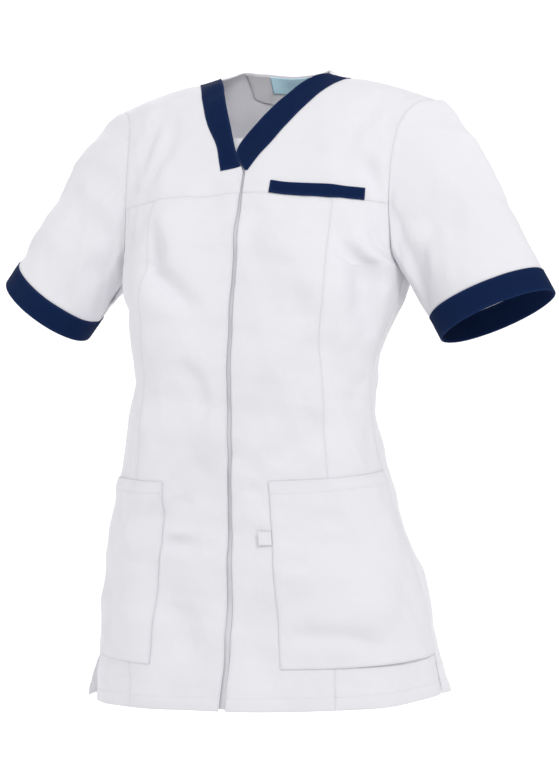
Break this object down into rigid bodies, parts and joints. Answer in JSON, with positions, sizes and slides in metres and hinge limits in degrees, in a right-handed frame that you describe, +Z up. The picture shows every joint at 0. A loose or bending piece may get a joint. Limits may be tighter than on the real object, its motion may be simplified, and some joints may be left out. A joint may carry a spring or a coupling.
{
  "type": "nurse tunic",
  "caption": "Short-sleeved hip-length nurse's tunic, white with navy neck band, cuffs and chest welt, shown filled out with no wearer.",
  "frame": {"origin": "midway between the two points where the shoulder seams meet the neck, where the tunic is held up", "axes": "+Z up, +X towards the wearer's left, +Y towards the wearer's back, so the front faces -Y"},
  "size_m": [0.6619, 0.2618, 0.7193],
  "materials": {
    "white_cloth": "matt white polyester-cotton twill",
    "inner_white_cloth": "matt white polyester-cotton twill in shade",
    "navy_cloth": "matt navy polyester-cotton twill",
    "label_cloth": "smooth pale blue woven label, bare"
  },
  "bodies": {
    "root": {"back": "white_cloth", "back_neck_facing": "white_cloth", "chest_welt": "navy_cloth", "cuff_left": "navy_cloth", "cuff_right": "navy_cloth", "front_centre_left": "white_cloth", "front_centre_right": "white_cloth", "front_side_left": "white_cloth", "front_side_right": "white_cloth", "front_underlap": "inner_white_cloth", "front_yoke_left": "white_cloth", "front_yoke_right": "white_cloth", "hip_pocket_left": "white_cloth", "hip_pocket_right": "white_cloth", "neck_label": "label_cloth", "neck_trim_left": "navy_cloth", "neck_trim_right": "navy_cloth", "side_tab": "white_cloth", "size_tab": "white_cloth", "sleeve_left": "white_cloth", "sleeve_right": "white_cloth"}
  },
  "joints": []
}
